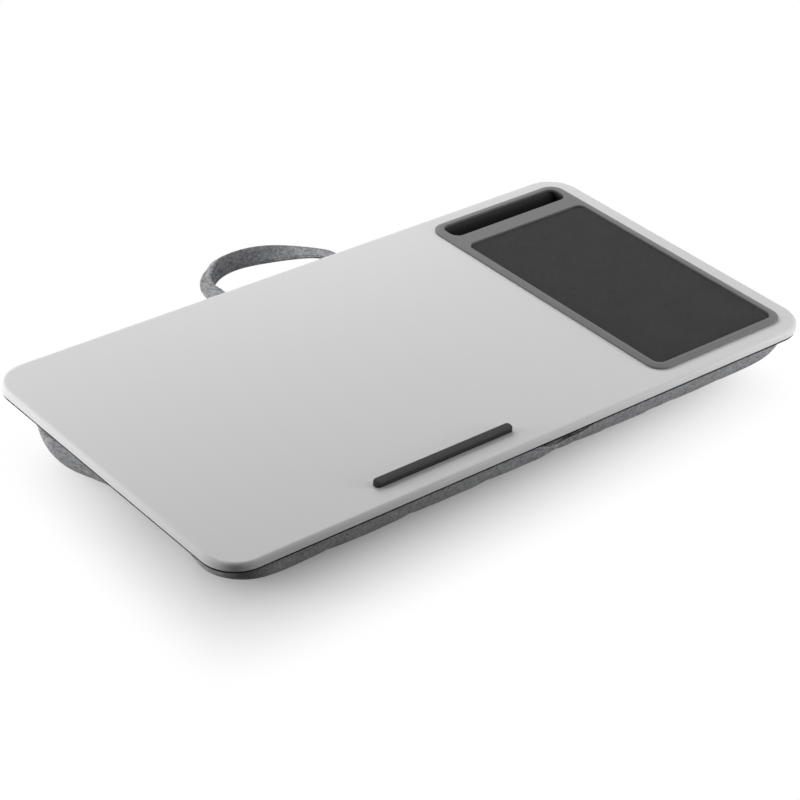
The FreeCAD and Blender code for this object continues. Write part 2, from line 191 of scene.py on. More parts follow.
class SewingSizes(PropertyGroup):
    """Sizes of seams, stitches, puckers and weaves"""

    stitch_pitch: length_property("Stitch pitch", "Distance from one stitch to the next", 0.0038)
    stitch_length: length_property("Stitch length", "Length of a stitch", 0.0027)
    thread_radius: length_property("Thread radius", "Radius of the sewing thread", 0.0003)
    piping_radius: length_property("Seam cord radius", "Radius of the folded cord in the seam", 0.0012)
    seam_row: length_property("Seam row", "Distance of the stitch row under the seam", 0.0028)
    channel_row: length_property("Channel row", "Height of the channel's stitch row over its groove", 0.0017)
    hem: length_property("Hem", "Distance of a stitch row from the strap's edge", 0.0021)
    hem_rise: length_property("Hem rise", "How much thicker the strap is along its hems", 0.00012)
    hem_place: length_property("Hem place", "Distance of the thickest line from the stitch row", 0.0012)
    hem_width: length_property("Hem width", "Half the width of the thicker hem", 0.0016)
    row_depth: length_property("Row depth", "How deep a stitch row draws the strap in", 0.0002)
    row_width: length_property("Row width", "Half the width of the dip along a stitch row", 0.0007)
    crease_depth: length_property("Crease depth", "Depth of the crease along the seam", 0.0011)
    crease_width: length_property("Crease width", "Half the width of that crease", 0.0022)
    pucker: length_property("Pucker", "Height of the puckers beside the seam", 0.00022)
    pucker_reach: length_property("Pucker reach", "Distance over which these puckers fade", 0.009)
    channel_depth: length_property("Channel crease", "Depth of the crease along the channel", 0.0016)
    channel_width: length_property("Channel crease width", "Half the width of that crease", 0.0024)
    channel_pucker: length_property("Channel pucker", "Height of the puckers beside the channel", 0.0005)
    channel_reach: length_property("Channel reach", "Distance over which these puckers fade", 0.016)
    lumps: length_property("Lumps", "Height of the slow lumps in the filled cover", 0.0002)
    clearance: length_property("Clearance", "Least gap between the cover and the panel over it", 0.0002)
    cloth_pitch: length_property("Thread pitch", "Distance between the threads of the grey cloth", 0.0008)
    mat_pitch: length_property("Mat thread pitch", "Distance between the threads of the mat's cloth", 0.0005)


class TrayColours(PropertyGroup):
    """Linear colours of all finishes"""

    board: colour_property("Board", "Pale grey lacquer of the board", (0.70, 0.70, 0.70))
    base: colour_property("Base panel", "Black panel under the board", (0.006, 0.006, 0.0063))
    moulding: colour_property("Frame", "Moulded grey of the pad's frame", (0.155, 0.155, 0.158))
    # Painted shade: the phone slot's colour goes from this black at its foot to the paler mouth colour below,
    # standing in for the shade deep in the slot
    slot_shaded_foot: colour_property("Phone slot", "Black moulding at the phone slot's foot", (0.006, 0.006, 0.0063))
    slot_lit_mouth: colour_property("Slot mouth", "Moulding at the phone slot's mouth", (0.065, 0.065, 0.0663))
    mat: colour_property("Mouse pad", "Charcoal cloth of the mouse pad", (0.030, 0.030, 0.0313))
    bar: colour_property("Laptop stop", "Black moulding of the stop bar", (0.016, 0.016, 0.0165))
    cloth_light: colour_property("Light threads", "Pale threads of the grey cloth", (0.60, 0.605, 0.62))
    cloth_dark: colour_property("Dark threads", "Dark threads of the grey cloth", (0.15, 0.1525, 0.16))
    thread: colour_property("Sewing thread", "Thread of the seams", (0.30, 0.302, 0.31))
    strip: colour_property("Strips", "Black strips that hold the cushion", (0.02, 0.02, 0.021))
    steel: colour_property("Screws", "Steel of the screws", (0.55, 0.55, 0.56))
    floor: colour_property("Floor", "White studio floor", (0.92, 0.92, 0.92))


class StageSettings(PropertyGroup):
    """Camera, light and floor"""

    eye: FloatVectorProperty(name="Camera place", description="Where the camera stands",
                             default=(-1.05988, -1.21207, 1.04566), subtype="TRANSLATION", unit="LENGTH")
    turn: FloatVectorProperty(name="Camera turn", description="How the camera is turned",
                              default=(0.999867, -0.04638, -0.684113), subtype="EULER", unit="ROTATION")
    lens: FloatProperty(name="Lens", description="Focal length", default=109.79, unit="CAMERA")
    sky: share_property("Sky", "Strength of the even light from all round", 0.05)
    rear: power_property("Rear light", "Power of the soft light above the rear edge", 10.8)
    left: power_property("Left light", "Power of the large soft light at the rear left", 6.5)
    right: power_property("Right light", "Power of the soft light above the front right", 5.0)
    left_end: power_property("Left end light", "Power of the low light at the left end", 4.6)
    right_end: power_property("Right end light", "Power of the low light before the right end", 2.4)
    bounce: share_property("Bounce", "Share of its light that the floor gives back to the tray", 0.15)
    # The floor's shadow fades through painted light: white is mixed into the floor by distance from the board
    shadow_in: length_property("Shadow inside", "Depth under the board where the shadow is full", 0.088)
    shadow_out: length_property("Shadow outside", "Distance off the board where the floor is white", 0.026)
    shadow_blend: length_property("Shadow blend", "How softly the shadow turns its corners", 0.05)
    shadow_lean: share_property("Shadow lean", "How much further the shadow reaches at the front left", 0.1)


# Finishes

def rgba(colour, share=1.0):
    """A colour with its channels times share, and no transparency."""
    return tuple(min(1.0, channel * share) for channel in colour) + (1.0,)


class Number:
    """A number that changes over a surface. Python's operators on it add Math nodes to its tree."""

    def __init__(self, nodes, socket):
        self.nodes = nodes
        self.socket = socket

    def apply(self, operation, other=0.0):
        """This number through a Math node of that operation."""
        return self.nodes.math(operation, self, other)

    def __add__(self, other):
        return self.nodes.math("ADD", self, other)

    def __sub__(self, other):
        return self.nodes.math("SUBTRACT", self, other)

    def __mul__(self, other):
        return self.nodes.math("MULTIPLY", self, other)

    def __truediv__(self, other):
        return self.nodes.math("DIVIDE", self, other)

    def __pow__(self, other):
        return self.nodes.math("POWER", self, other)

    def __radd__(self, other):
        return self.nodes.math("ADD", other, self)

    def __rsub__(self, other):
        return self.nodes.math("SUBTRACT", other, self)

    def __rmul__(self, other):
        return self.nodes.math("MULTIPLY", other, self)

    def __rtruediv__(self, other):
        return self.nodes.math("DIVIDE", other, self)

    def __rpow__(self, other):
        return self.nodes.math("POWER", other, self)


class Nodes:
    """The nodes of a material or of the world, under construction."""

    def __init__(self, tree):
        self.tree = tree

    def node(self, kind, settings=None, sockets=None):
        """Adds a node of a kind, applies its settings, then sets or links its sockets."""
        node = self.tree.nodes.new(kind)
        for setting, value in (settings or {}).items():
            setattr(node, setting, value)
        for key, value in (sockets or {}).items():
            self.feed(node.inputs[key], value)
        return node

    def feed(self, socket, value):
        """Links a number or a socket to a socket, or sets a plain value on it."""
        if isinstance(value, Number):
            value = value.socket
        if isinstance(value, bpy.types.NodeSocket):
            self.tree.links.new(value, socket)
        else:
            socket.default_value = value

    def math(self, operation, first, second):
        """A Math node of that operation, as a number."""
        node = self.node("ShaderNodeMath", {"operation": operation}, {0: first, 1: second})
        return Number(self, node.outputs[0])

    def place(self):
        """The piece's own coordinates, in metres."""
        return self.node("ShaderNodeTexCoord").outputs["Object"]

    def split(self, vector):
        """The three parts of a vector as numbers."""
        parts = self.node("ShaderNodeSeparateXYZ", None, {0: vector}).outputs
        return [Number(self, part) for part in parts]

    def joined(self, x, y, z):
        """A vector of three numbers."""
        return self.node("ShaderNodeCombineXYZ", None, {0: x, 1: y, 2: z}).outputs[0]

    def noise(self, vector, scale, detail=2.0):
        """Cloudy numbers around a half, with scale clouds to the metre."""
        node = self.node("ShaderNodeTexNoise", None, {"Vector": vector, "Scale": scale, "Detail": detail})
        return Number(self, node.outputs[0])

    def ramp(self, number, low, high):
        """0 where a number is at low, 1 where it is at high, and a smooth step between."""
        node = self.node("ShaderNodeMapRange", {"interpolation_type": "SMOOTHSTEP"},
                         {"Value": number, "From Min": low, "From Max": high})
        return Number(self, node.outputs[0])

    def mix(self, share, first, second):
        """Colour between first and second."""
        node = self.node("ShaderNodeMix", {"data_type": "RGBA"}, {0: share, 6: first, 7: second})
        return node.outputs[2]

    def seen(self):
        """1 for what the eye sees, also in a reflection or through a clear piece, and 0 for other light."""
        path = self.node("ShaderNodeLightPath").outputs
        seen = Number(self, path["Is Camera Ray"])
        for kind in ("Is Glossy Ray", "Is Transmission Ray"):
            seen = seen.apply("MAXIMUM", path[kind])
        return seen


class Finish(Nodes):
    """A material under construction: one principled shader and the nodes that feed it."""

    def __init__(self, name, constants):
        self.material = bpy.data.materials.new(name)
        self.material.use_nodes = True
        super().__init__(self.material.node_tree)
        self.shader = self.tree.nodes["Principled BSDF"]
        for socket, value in constants.items():
            self.shader.inputs[socket].default_value = value

    def dress(self, colour=None, roughness=None, relief=None, depth=0.0):
        """Feeds the shader: its colour, its roughness and a relief whose full height is depth."""
        if colour is not None:
            self.feed(self.shader.inputs["Base Color"], colour)
        if roughness is not None:
            self.feed(self.shader.inputs["Roughness"], roughness)
        if relief is not None:
            bump = self.node("ShaderNodeBump", None, {"Height": relief, "Distance": depth})
            self.feed(self.shader.inputs["Normal"], bump.outputs[0])
        return self.material


def lacquer_finish(colours):
    """Satin lacquer: slow clouds of tone, fine specks and the faint ripple of a sprayed coat."""
    finish = Finish("board_lacquer", {"Specular IOR Level": 0.42})
    place = finish.place()
    clouds = finish.noise(place, 9.0, detail=3.0)
    specks = finish.noise(place, 1400.0)
    ripple = finish.noise(place, 520.0, detail=1.0)
    tone = clouds * 0.55 + specks * 0.45
    colour = finish.mix(tone, rgba(colours.board, 0.955), rgba(colours.board, 1.045))
    return finish.dress(colour, roughness=0.40 + 0.16 * clouds, relief=ripple, depth=0.00006)


def panel_finish(colours):
    """Black panel with a fine pressed grain."""
    finish = Finish("base_panel_black", {"Specular IOR Level": 0.12})
    place = finish.place()
    grain = finish.noise(place, 1100.0, detail=3.0)
    clouds = finish.noise(place, 14.0)
    colour = finish.mix(clouds * 0.6 + grain * 0.4, rgba(colours.base, 0.7), rgba(colours.base, 1.5))
    return finish.dress(colour, roughness=0.52 + 0.22 * grain, relief=grain, depth=0.00012)


def moulded_finish(name, colour, gloss):
    """Moulded plastic: an even colour with faint flow clouds and the fine sparkle of an eroded mould."""
    finish = Finish(name, {"Specular IOR Level": gloss})
    place = finish.place()
    clouds = finish.noise(place, 22.0)
    sparkle = finish.noise(place, 2400.0)
    tone = clouds * 0.5 + sparkle * 0.5
    shade = finish.mix(tone, rgba(colour, 0.88), rgba(colour, 1.12))
    return finish.dress(shade, roughness=0.44 + 0.2 * sparkle, relief=sparkle, depth=0.00007)


def slot_finish_painted_shade(colours):
    """Moulded plastic of the phone slot, with painted shade: black at its foot and paler towards its mouth,
    standing in for the shade deep in the slot.
    """
    finish = Finish("slot_moulding", {"Specular IOR Level": 0.08})
    place = finish.place()
    sparkle = finish.noise(place, 2400.0)
    # Painted shade: the colour darkens with depth in the slot, as the shade inside it would
    rise = finish.ramp(finish.split(place)[2], slot_low.z, slot_high.z) ** 4
    colour = finish.mix(rise * (0.85 + 0.3 * sparkle), rgba(colours.slot_shaded_foot), rgba(colours.slot_lit_mouth))
    return finish.dress(colour, roughness=0.6 + 0.2 * sparkle, relief=sparkle, depth=0.00007)


def weave(finish, across, along, pitch):
    """Plain weave: threads that run along and across pass over and under each other in turn. Each thread's
    round is a parabola. Its paleness is a noise, in which neighbours lie apart and which has so many flecks
    to the metre. Returns the height of the cloth and how pale each thread is where it shows."""
    column = across / pitch
    row = along / pitch
    column_number = column.apply("FLOOR")
    row_number = row.apply("FLOOR")
    over = (column_number + row_number).apply("PINGPONG", 1.0)
    column_side = column.apply("FRACT")
    row_side = row.apply("FRACT")
    column_round = 4 * column_side * (1 - column_side)
    row_round = 4 * row_side * (1 - row_side)
    height = over * column_round + (1 - over) * row_round
    apart = 1.7
    flecks = 260.0
    warp = finish.noise(finish.joined(column_number * apart, along * flecks, 0.0), 1.0, detail=1.0)
    weft = finish.noise(finish.joined(across * flecks, row_number * apart, 7.0), 1.0, detail=1.0)
    return height, over * warp + (1 - over) * weft


def cloth_finish(colours, sewing):
    """Grey melange cloth: pale and dark threads in a plain weave, with slow clouds over it."""
    finish = Finish("melange_cloth", {"Specular IOR Level": 0.15, "Sheen Weight": 0.12,
                                      "Sheen Roughness": 0.6})
    surface = finish.node("ShaderNodeUVMap", {"uv_map": CLOTH_MAP}).outputs[0]
    across, along = finish.split(surface)[:2]
    height, paleness = weave(finish, across, along, sewing.cloth_pitch)
    flecks = finish.noise(finish.place(), 420.0)
    clouds = finish.noise(finish.place(), 90.0, detail=3.0)
    tone = finish.ramp(paleness * 0.40 + flecks * 0.50 + clouds * 0.10, 0.27, 0.72)
    colour = finish.mix(tone, rgba(colours.cloth_dark), rgba(colours.cloth_light))
    relief = height * 0.7 + flecks * 0.3
    return finish.dress(colour, roughness=0.86 + 0.1 * flecks, relief=relief, depth=0.00022)


def thread_finish(colours):
    """Twisted sewing thread."""
    finish = Finish("sewing_thread", {"Specular IOR Level": 0.25, "Sheen Weight": 0.1})
    fibres = finish.noise(finish.place(), 2600.0)
    colour = finish.mix(fibres, rgba(colours.thread, 0.7), rgba(colours.thread, 1.3))
    return finish.dress(colour, roughness=0.7 + 0.2 * fibres, relief=fibres, depth=0.00005)


def mat_finish(colours, sewing):
    """Charcoal cloth of a mouse pad: a very fine weave with a few paler fibres."""
    finish = Finish("mat_cloth", {"Specular IOR Level": 0.2, "Sheen Weight": 0.08, "Sheen Roughness": 0.5})
    place = finish.place()
    across, along = finish.split(place)[:2]
    height, paleness = weave(finish, across, along, sewing.mat_pitch)
    clouds = finish.noise(place, 40.0)
    specks = finish.noise(place, 900.0)
    tone = paleness * 0.45 + specks * 0.4 + clouds * 0.15
    colour = finish.mix(finish.ramp(tone, 0.3, 0.7), rgba(colours.mat, 0.68), rgba(colours.mat, 1.36))
    relief = height * 0.6 + specks * 0.4
    return finish.dress(colour, roughness=0.84 + 0.12 * specks, relief=relief, depth=0.00012)


def pile_finish(colours):
    """Black hook and loop strip: a coarse pile of small tufts, paler on their tops and darker in the gaps
    between them, which is painted shade.
    """
    finish = Finish("strip_pile", {"Specular IOR Level": 0.2})
    place = finish.place()
    tufts = finish.node("ShaderNodeTexVoronoi", None, {"Vector": place, "Scale": 900.0}).outputs[0]
    tufts = Number(finish, tufts)
    # Painted shade: the colour is darker in the gaps between tufts and paler on their tops
    colour = finish.mix(tufts, rgba(colours.strip, 1.6), rgba(colours.strip, 0.5))
    return finish.dress(colour, roughness=0.75 + 0.2 * tufts, relief=1 - tufts, depth=0.0004)


def steel_finish(colours):
    """Turned steel with faint stains."""
    finish = Finish("screw_steel", {"Specular IOR Level": 0.5, "Metallic": 1.0})
    place = finish.place()
    stains = finish.noise(place, 900.0)
    colour = finish.mix(stains, rgba(colours.steel, 0.75), rgba(colours.steel, 1.1))
    return finish.dress(colour, roughness=0.28 + 0.25 * stains, relief=stains, depth=0.00003)


# Meshes

def paint_node(node, material):
    """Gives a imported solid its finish."""
    piece = frame["nodes"][node]
    if not piece.material_slots:
        piece.data.materials.append(material)
    for slot in piece.material_slots:
        slot.material = material


def tube_mesh(name, rings, closed=False):
    """Mesh of tubes from an array of rings: tube, station along it, place round it, x y z. Each tube is
    closed by a face at both ends, or bends back onto its own start if closed."""
    tubes, stations, around = rings.shape[:3]
    numbers = np.arange(tubes * stations * around).reshape(tubes, stations, around)
    beside = np.roll(numbers, -1, axis=2)
    if closed:
        here, here_beside = numbers, beside
        ahead, ahead_beside = np.roll(numbers, -1, axis=1), np.roll(beside, -1, axis=1)
    else:
        here, here_beside = numbers[:, :-1], beside[:, :-1]
        ahead, ahead_beside = numbers[:, 1:], beside[:, 1:]
    faces = np.stack([here, here_beside, ahead_beside, ahead], axis=-1).reshape(-1, 4).tolist()
    if not closed:
        faces += numbers[:, 0, ::-1].tolist() + numbers[:, -1].tolist()
    mesh = bpy.data.meshes.new(name)
    mesh.from_pydata(rings.reshape(-1, 3).tolist(), [], faces)
    mesh.validate()
    return mesh


def add_piece(name, mesh, material):
    """Puts a finished mesh into the scene, at the origin, with its finish."""
    mesh.name = name
    mesh.polygons.foreach_set("use_smooth", np.ones(len(mesh.polygons), dtype=bool))
    mesh.materials.clear()
    mesh.materials.append(material)
    piece = bpy.data.objects.new(name, mesh)
    bpy.context.scene.collection.objects.link(piece)
    return piece


def values_of(items, name, width=1, kind=float):
    """One value of each item of a mesh as an array, or as rows where a value has a width."""
    values = np.empty(len(items) * width, dtype=kind)
    items.foreach_get(name, values)
    return values.reshape(-1, width) if width > 1 else values


def points_of(mesh):
    """All points of a mesh as an array."""
    return values_of(mesh.vertices, "co", 3)


def set_points(mesh, points):
    """Moves all points of a mesh to those of an array."""
    mesh.vertices.foreach_set("co", points.ravel())
    mesh.update()


def evaluated_copy(piece):
    """A new mesh with the piece's modifiers applied."""
    graph = bpy.context.evaluated_depsgraph_get()
    return bpy.data.meshes.new_from_object(piece.evaluated_get(graph))


# Curves and outlines

def smooth_step(low, high, value):
    """0 below low, 1 above high, and an S-shaped rise between them."""
    share = np.clip((value - low) / (high - low), 0, 1)
    return share * share * (3 - 2 * share)


def bell(distance, width):
    """1 at no distance, falling off as a bell curve."""
    return np.exp(-(distance / width) ** 2)


def unit(vectors):
    """Vectors of length 1 in the same directions."""
    return vectors / np.linalg.norm(vectors, axis=-1, keepdims=True)


def walked_along(line):
    """Distance walked along a line of points, at each of them."""
    return np.concatenate([[0], np.cumsum(np.linalg.norm(np.diff(line, axis=0), axis=1))])


def rounded_outline(length, width, front_radius, rear_radius, count):
    """Points round a rectangle of half sizes length and width, whose corners are quarter circles. They are
    evenly spaced along it, counter-clockwise from the middle of its front edge."""
    quarter = np.linspace(0, math.pi / 2, CORNER_STEPS)
    sine, cosine = np.sin(quarter), np.cos(quarter)
    front_x, front_y = length - front_radius, width - front_radius
    rear_x, rear_y = length - rear_radius, width - rear_radius
    x = np.concatenate([[0], front_x + front_radius * sine, rear_x + rear_radius * cosine,
                        -rear_x - rear_radius * sine, -front_x - front_radius * cosine, [0]])
    y = np.concatenate([[-width], -front_y - front_radius * cosine, rear_y + rear_radius * sine,
                        rear_y + rear_radius * cosine, -front_y - front_radius * sine, [-width]])
    walked = np.concatenate([[0], np.cumsum(np.hypot(np.diff(x), np.diff(y)))])
    stops = np.linspace(0, walked[-1], count, endpoint=False)
    return np.interp(stops, walked, x), np.interp(stops, walked, y)


def cushion_outline(sizes, inset, count):
    """Plan outline of the cushion, drawn in by inset: a rounded rectangle whose ends go in as a parabola
    between their corners, whose front and rear swell and go in at the channel as a bell curve, and whose
    front is pulled to the right."""
    length = sizes.half_length - inset
    width = sizes.half_width - inset
    roundest = 0.95 * width
    front_radius = min(sizes.front_radius + inset / 2, roundest)
    rear_radius = min(sizes.rear_radius + inset / 2, roundest)
    x, y = rounded_outline(length, width, front_radius, rear_radius, count)
    front_y, rear_y = front_radius - width, width - rear_radius
    middle, reach = (front_y + rear_y) / 2, (rear_y - front_y) / 2
    parabola = np.clip(1 - ((y - middle) / reach) ** 2, 0, 1)
    end_share = smooth_step(length - rear_radius, length, np.abs(x))
    x = x - np.sign(x) * end_share * parabola * sizes.draw_in * 2 * reach
    waist = bell(x - sizes.channel_x, sizes.waist_width)
    chamber_end = smooth_step(length, length - 2 * rear_radius, np.abs(x))
    side_share = smooth_step(0.4 * width, width, np.abs(y))
    y = y + np.sign(y) * side_share * (sizes.bulge * chamber_end * (1 - waist) - sizes.waist_depth * waist)
    x = x + sizes.shift + sizes.front_shift * np.clip(-y, 0, None) / sizes.half_width
    return x, y


# Cushion

def pinched_height(sizes, x, height):
    """Height over the floor after the channel has drawn the cover's foot up as a narrow bell curve, and its
    seam and its top down as a wide one with a flat floor. From the seam down this fades as a cube."""
    aside = np.abs(x - sizes.channel_x)
    groove = np.exp(-(aside / sizes.groove_width) ** 2.2)
    valley = np.exp(-(aside / sizes.valley_width) ** 4)
    sunk = (sizes.seam_height - sizes.valley_seam) * valley
    top = sizes.height - (sizes.height - sizes.valley_height) * valley
    up_to_seam = np.clip(height / sizes.seam_height, 0, 1)
    over_seam = np.clip((height - sizes.seam_height) / (sizes.height - sizes.seam_height), 0, 1)
    wall = sizes.seam_height * up_to_seam + sizes.groove_height * groove * (1 - up_to_seam)
    return wall - sunk * up_to_seam ** 3 + (top - sizes.seam_height + sunk) * over_seam


def foot_share(sizes, height):
    """0 from the wall's widest height up and 1 at its foot, as a quarter circle."""
    below = np.clip((sizes.widest_height - height) / sizes.widest_height, 0, 1)
    return 1 - np.sqrt(1 - below ** 2)


def wall_inset(sizes, height):
    """How far the wall stands in at a height: a quarter ellipse below its widest height and a small one
    above it."""
    above = np.clip((height - sizes.widest_height) / (sizes.height - sizes.widest_height), 0, 1)
    return sizes.foot_inset * foot_share(sizes, height) + sizes.top_inset * (1 - np.sqrt(1 - above ** 2))


def cushion_rings(sizes):
    """Rings of the cushion from the middle of its foot, out along the floor, up the wall and in along the
    top. Each ring is the plan outline at its own inset and height, and the foot stands to the rear."""
    foot_steps = 12
    wall_steps = 45
    top_steps = 19
    rise = np.linspace(-1, 1, wall_steps) * math.pi / 2
    part = np.where(rise < 0, sizes.widest_height, sizes.height - sizes.widest_height)
    heights = sizes.widest_height + part * np.sin(rise)
    insets = wall_inset(sizes, heights)
    innermost = INNER_SHARE * sizes.half_width
    foot = np.linspace(innermost, insets[0], foot_steps, endpoint=False)
    top = np.linspace(insets[-1], innermost, top_steps)[1:]
    insets = np.concatenate([foot, insets, top]) + sizes.slack
    heights = np.concatenate([np.zeros_like(foot), heights, np.full_like(top, sizes.height)])
    outlines = np.array([cushion_outline(sizes, inset, CUSHION_STEPS) for inset in insets])
    x = outlines[:, 0]
    y = outlines[:, 1] + sizes.foot_shift * foot_share(sizes, heights)[:, None]
    z = pinched_height(sizes, x, heights[:, None])
    return np.stack([x, y, z], axis=-1)


def seam_path(sizes, height, count):
    """Closed line round the cover at a height, with the direction along it and the one out of the wall."""
    inset = float(wall_inset(sizes, np.array(height))) + sizes.slack
    x, y = cushion_outline(sizes, inset, count)
    line = np.stack([x, y, pinched_height(sizes, x, height)], axis=-1)
    along = unit(np.roll(line, -1, axis=0) - np.roll(line, 1, axis=0))
    outward = unit(np.cross(along, (0.0, 0.0, 1.0)))
    return line, along, outward


def held_share(sizes, points):
    """1 where the cover is held by its seams, the floor and the panel above it, and 0 where the fill may move
    it. Each hold goes over from the first distance to the second."""
    seam_hold = (0.003, 0.008)
    channel_hold = (0.002, 0.009)
    floor_hold = (0.0005, 0.003)
    top_hold = 0.003
    x, z = points[:, 0], points[:, 2]
    seam = pinched_height(sizes, x, sizes.seam_height)
    top = pinched_height(sizes, x, sizes.height - top_hold)
    on_seam = 1 - smooth_step(*seam_hold, np.abs(z - seam))
    on_top = smooth_step(-top_hold, 0.0, z - top)
    on_channel = 1 - smooth_step(*channel_hold, np.abs(x - sizes.channel_x))
    on_floor = 1 - smooth_step(*floor_hold, z)
    return np.maximum.reduce([on_seam, on_top, on_channel, on_floor])


def fill_cover(piece, sizes):
    """Fills the cover: cloth with a little spare size is blown up by the fill's pressure while its seams
    are held, and no point may move further than the cap. Returns the points."""
    start = points_of(piece.data)
    held = held_share(sizes, start)
    group = piece.vertex_groups.new(name="held")
    levels = 4
    for level in np.linspace(1 / levels, 1.0, levels):
        members = np.nonzero(np.abs(held - level) <= 0.5 / levels)[0]
        group.add(members.tolist(), float(level), "REPLACE")
    modifier = piece.modifiers.new("Filling", "CLOTH")
    cloth = modifier.settings
    cloth.quality = 5
    cloth.mass = 0.3
    cloth.tension_stiffness = 18.0
    cloth.compression_stiffness = 12.0
    cloth.shear_stiffness = 8.0
    cloth.bending_stiffness = 0.4
    cloth.shrink_min = -sizes.spare_cloth
    cloth.use_pressure = True
    cloth.uniform_pressure_force = sizes.pressure
    cloth.effector_weights.gravity = 0.0
    cloth.vertex_group_mass = group.name
    modifier.collision_settings.use_collision = False
    modifier.point_cache.frame_start = 1
    modifier.point_cache.frame_end = sizes.frames
    scene = bpy.context.scene
    for step in range(1, sizes.frames + 1):
        scene.frame_set(step)
    filled = evaluated_copy(piece)
    move = points_of(filled) - start
    scene.frame_set(1)
    piece.modifiers.remove(modifier)
    piece.vertex_groups.clear()
    bpy.data.meshes.remove(filled)
    distance = np.linalg.norm(move, axis=1, keepdims=True)
    capped = sizes.most_swell * np.tanh(distance / sizes.most_swell)
    return start + move * capped / np.maximum(distance, 1e-9)


def sew_cover(mesh, sizes, sewing):
    """Draws the seams into the filled cover: a narrow crease along the seam and the channel, and puckers
    beside them that fade out and never repeat exactly."""
    points = points_of(mesh)
    normals = values_of(mesh.vertex_normals, "vector", 3)
    x, y, z = points.T
    turn = np.arctan2(y / sizes.half_width, x / sizes.half_length)
    beside_seam = z - pinched_height(sizes, x, sizes.seam_height)
    on_wall = smooth_step(0.2, 0.5, np.hypot(normals[:, 0], normals[:, 1]))
    crease = -sewing.crease_depth * bell(beside_seam, sewing.crease_width)
    # Sums of sines whose places wander, so that no two puckers are alike
    waves = np.sin(96 * turn + 2.1 * np.sin(7 * turn + 0.6))
    waves = waves + 0.6 * np.sin(61 * turn + 1.7 * np.sin(5 * turn))
    pucker = sewing.pucker * waves * np.exp(-np.abs(beside_seam) / sewing.pucker_reach)
    from_channel = np.abs(x - sizes.channel_x)
    channel_waves = np.sin(y * 390 + 2.4 * np.sin(y * 57)) + 0.5 * np.sin(y * 233 + 1.0)
    channel_crease = -sewing.channel_depth * bell(from_channel, sewing.channel_width)
    channel_pucker = sewing.channel_pucker * channel_waves * np.exp(-from_channel / sewing.channel_reach)
    under = smooth_step(0.4, 0.8, -normals[:, 2])
    lumps = sewing.lumps * np.sin(x * 71 + 2 * np.sin(y * 43)) * np.sin(y * 67 + 1.5 * np.sin(x * 37 + 1))
    free = 1 - held_share(sizes, points)
    move = on_wall * (crease + pucker) + under * (channel_crease + channel_pucker) + lumps * free
    points = points + normals * move[:, None]
    points[:, 2] = np.clip(points[:, 2], 0.0, sizes.height - sewing.clearance)
    set_points(mesh, points)


# Cloth and stitches

def lay_cloth(mesh, across, along):
    """Keeps the place of each face corner across and along the cloth, in metres."""
    layer = mesh.uv_layers.new(name=CLOTH_MAP)
    layer.data.foreach_set("uv", np.stack([across, along], axis=-1).ravel())


def wrap_cloth(mesh):
    """Lays the cloth's thread directions over a mesh, in metres: each face takes the two axes that it
    faces least."""
    place = points_of(mesh)[values_of(mesh.loops, "vertex_index", kind=np.int32)]
    sides = values_of(mesh.polygons, "loop_total", kind=np.int32)
    axis = np.repeat(np.abs(values_of(mesh.polygons, "normal", 3)).argmax(axis=1), sides)
    across = np.where(axis == 0, place[:, 1], place[:, 0])
    along = np.where(axis == 2, place[:, 1], place[:, 2])
    lay_cloth(mesh, across, along)


def wrap_tube(mesh, walked, girth):
    """Lays the cloth's thread directions over a tube: along it and round it, in metres. Corners of a face
    that closes the tube take the far side, so that no face is stretched."""
    stations, around = len(walked), len(girth)
    corners = values_of(mesh.loops, "vertex_index", kind=np.int32)
    first = values_of(mesh.polygons, "loop_start", kind=np.int32)
    sides = values_of(mesh.polygons, "loop_total", kind=np.int32)
    start_column = np.repeat(corners[first] % around, sides)
    start_row = np.repeat(corners[first] // around, sides)
    column, row = corners % around, corners // around
    closing_column = (start_column == around - 1) & (column == 0)
    closing_row = (start_row == stations - 1) & (row == 0)
    across = girth[column] + closing_column * (girth[-1] + girth[1])
    along = walked[row] + closing_row * (walked[-1] + walked[1])
    lay_cloth(mesh, across, along)


def stitches(centres, along, outward, sewing):
    """Rings of a row of stitches: each is a slim ellipsoid on the cloth, half sunk into it."""
    steps = 6
    end_angle = 0.47
    flatness = 1.3
    slope = np.linspace(-1, 1, steps) * end_angle * math.pi
    station, girth = np.sin(slope), np.cos(slope)
    turn = np.linspace(0, 2 * math.pi, steps, endpoint=False)
    side = np.cross(outward, along)
    length = along[:, None, None] * (station * sewing.stitch_length / 2)[:, None, None]
    ring = side[:, None] * np.cos(turn)[:, None] * flatness + outward[:, None] * np.sin(turn)[:, None]
    return (centres[:, None, None] + length
            + ring[:, None] * (girth * sewing.thread_radius)[None, :, None, None])


def spaced(line, vectors, pitch, closed):
    """Points at an even pitch along a line, and the vectors there."""
    if closed:
        line = np.concatenate([line, line[:1]])
        vectors = [np.concatenate([vector, vector[:1]]) for vector in vectors]
    walked = walked_along(line)
    stops = np.arange(pitch / 2, walked[-1], pitch)

    def at_stops(values):
        return np.stack([np.interp(stops, walked, column) for column in values.T], axis=-1)

    return at_stops(line), [unit(at_stops(vector)) for vector in vectors]


# Carry strap

def strap_line(sizes, count):
    """Middle line of the strap, from one sewn end to the other: half an oval seen from above, skewed to the
    left and lifted at its middle, with a straight run at both ends."""
    angle = np.linspace(0, math.pi, count)
    x = -sizes.spacing / 2 * np.cos(angle) - sizes.skew * np.sin(angle) ** 2
    y = sizes.hinge_y + sizes.lead + sizes.reach * np.sin(angle) * (1 + sizes.lean * np.cos(angle))
    z = sizes.hinge_z + sizes.lift * np.sin(angle) ** 2
    run = np.linspace(sizes.sewn_y, sizes.hinge_y + sizes.lead, count // 3, endpoint=False)
    left = np.stack([np.full_like(run, -sizes.spacing / 2), run, np.full_like(run, sizes.hinge_z)], axis=-1)
    right = left[::-1] * (-1, 1, 1)
    return np.concatenate([left, np.stack([x, y, z], axis=-1), right])


